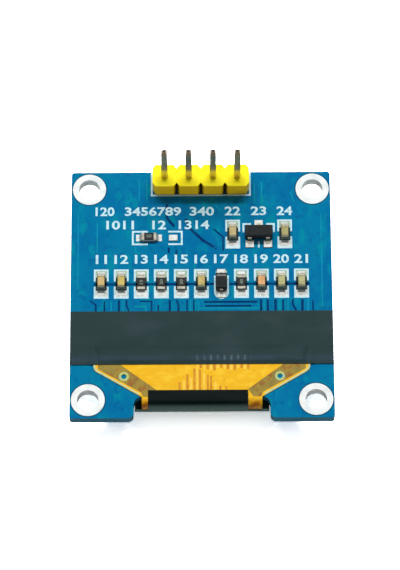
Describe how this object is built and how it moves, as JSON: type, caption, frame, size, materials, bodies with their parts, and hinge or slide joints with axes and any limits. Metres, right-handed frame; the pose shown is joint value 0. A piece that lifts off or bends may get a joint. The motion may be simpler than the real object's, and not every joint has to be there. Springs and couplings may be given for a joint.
{
  "type": "small display module",
  "caption": "Small flat display module with a four-pin header, folded flex cable and corner holes.",
  "frame": {"origin": "on the level of the display's face, under the middle of the circuit board", "axes": "+Z away from the display's face, +Y towards the pin header, +X to the right of both"},
  "size_m": [0.0274, 0.0278, 0.011],
  "materials": {
    "solder_mask": "glossy blue solder mask on glass-epoxy",
    "tinned_copper": "bright tin",
    "header_plastic": "satin moulded yellow",
    "pin_metal": "dull tinned pins",
    "capacitor_ceramic": "fired beige ceramic",
    "resistor_glaze": "black glaze on a ceramic plate",
    "moulding": "fine matt moulding compound",
    "flex_film": "amber film with copper inside",
    "black_tape": "satin black film tape",
    "display_glass": "clear glass, dark from the front",
    "polariser_film": "glossy dark film",
    "pixel_film": "thin film with a faint sheen",
    "edge_seal": "cured adhesive",
    "desiccant": "white sheet",
    "silicon": "polished silicon",
    "clear_resin": "clear cured resin",
    "foam_strip": "soft double-sided foam"
  },
  "bodies": {
    "root": {"circuit_board": "solder_mask", "header_housing": "header_plastic", "header_solder": "tinned_copper", "component_solder": "tinned_copper", "diode_body": "moulding", "diode_leads": "tinned_copper", "regulator_body": "moulding", "regulator_leads": "tinned_copper", "flex_cable": "flex_film", "flex_solder": "tinned_copper", "bend_tape": "black_tape", "cover_tape": "black_tape", "front_glass": "display_glass", "cap_glass": "display_glass", "polariser": "polariser_film", "pixel_layer": "pixel_film", "seal_bead": "edge_seal", "desiccant_sheet": "desiccant", "driver_chip": "silicon", "chip_resin": "clear_resin", "adhesive_strips": "foam_strip", "mounting_ring_1": "tinned_copper", "header_pin_1": "pin_metal", "mounting_ring_2": "tinned_copper", "header_pin_2": "pin_metal", "mounting_ring_3": "tinned_copper", "header_pin_3": "pin_metal", "mounting_ring_4": "tinned_copper", "header_pin_4": "pin_metal", "capacitor_1_body": "capacitor_ceramic", "capacitor_1_ends": "tinned_copper", "capacitor_2_body": "capacitor_ceramic", "capacitor_2_ends": "tinned_copper", "capacitor_3_body": "capacitor_ceramic", "capacitor_3_ends": "tinned_copper", "capacitor_4_body": "capacitor_ceramic", "capacitor_4_ends": "tinned_copper", "capacitor_5_body": "capacitor_ceramic", "capacitor_5_ends": "tinned_copper", "capacitor_6_body": "capacitor_ceramic", "capacitor_6_ends": "tinned_copper", "capacitor_7_body": "capacitor_ceramic", "capacitor_7_ends": "tinned_copper", "capacitor_8_body": "capacitor_ceramic", "capacitor_8_ends": "tinned_copper", "resistor_1_body": "resistor_glaze", "resistor_1_ends": "tinned_copper", "resistor_2_body": "resistor_glaze", "resistor_2_ends": "tinned_copper", "resistor_3_body": "resistor_glaze", "resistor_3_ends": "tinned_copper", "resistor_4_body": "resistor_glaze", "resistor_4_ends": "tinned_copper", "resistor_5_body": "resistor_glaze", "resistor_5_ends": "tinned_copper"}
  },
  "joints": []
}
